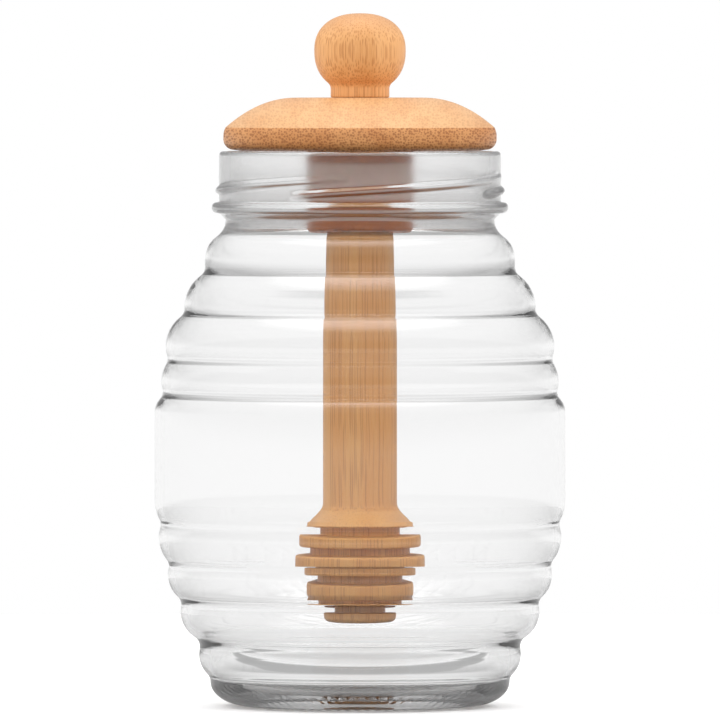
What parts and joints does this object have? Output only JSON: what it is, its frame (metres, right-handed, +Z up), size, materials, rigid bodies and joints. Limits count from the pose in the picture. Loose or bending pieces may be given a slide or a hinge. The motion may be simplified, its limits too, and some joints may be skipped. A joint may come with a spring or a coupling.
{
  "type": "honey jar",
  "caption": "Ringed, barrel-shaped clear glass honey jar, empty, with a turned bamboo lid resting on its threaded neck, a ball knob, and a dipper that hangs inside.",
  "frame": {"origin": "middle of the jar's foot, on the surface it stands on", "axes": "+Z up along the jar's axis; -Y is the side the picture shows"},
  "size_m": [0.0938, 0.0938, 0.1581],
  "materials": {
    "clear_glass": "clear, polished",
    "lid_bamboo": "fine-sanded bamboo, satin lacquer",
    "knob_bamboo": "fine-sanded bamboo, satin lacquer",
    "boss_bamboo": "fine-sanded bamboo, satin",
    "milky_silicone": "translucent, matt",
    "dipper_bamboo": "fine-sanded bamboo, satin"
  },
  "bodies": {
    "root": {"glass_jar": "clear_glass", "lid": "lid_bamboo", "knob": "knob_bamboo", "lid_boss": "boss_bamboo", "seal_sleeve": "milky_silicone", "dipper": "dipper_bamboo"}
  },
  "joints": []
}
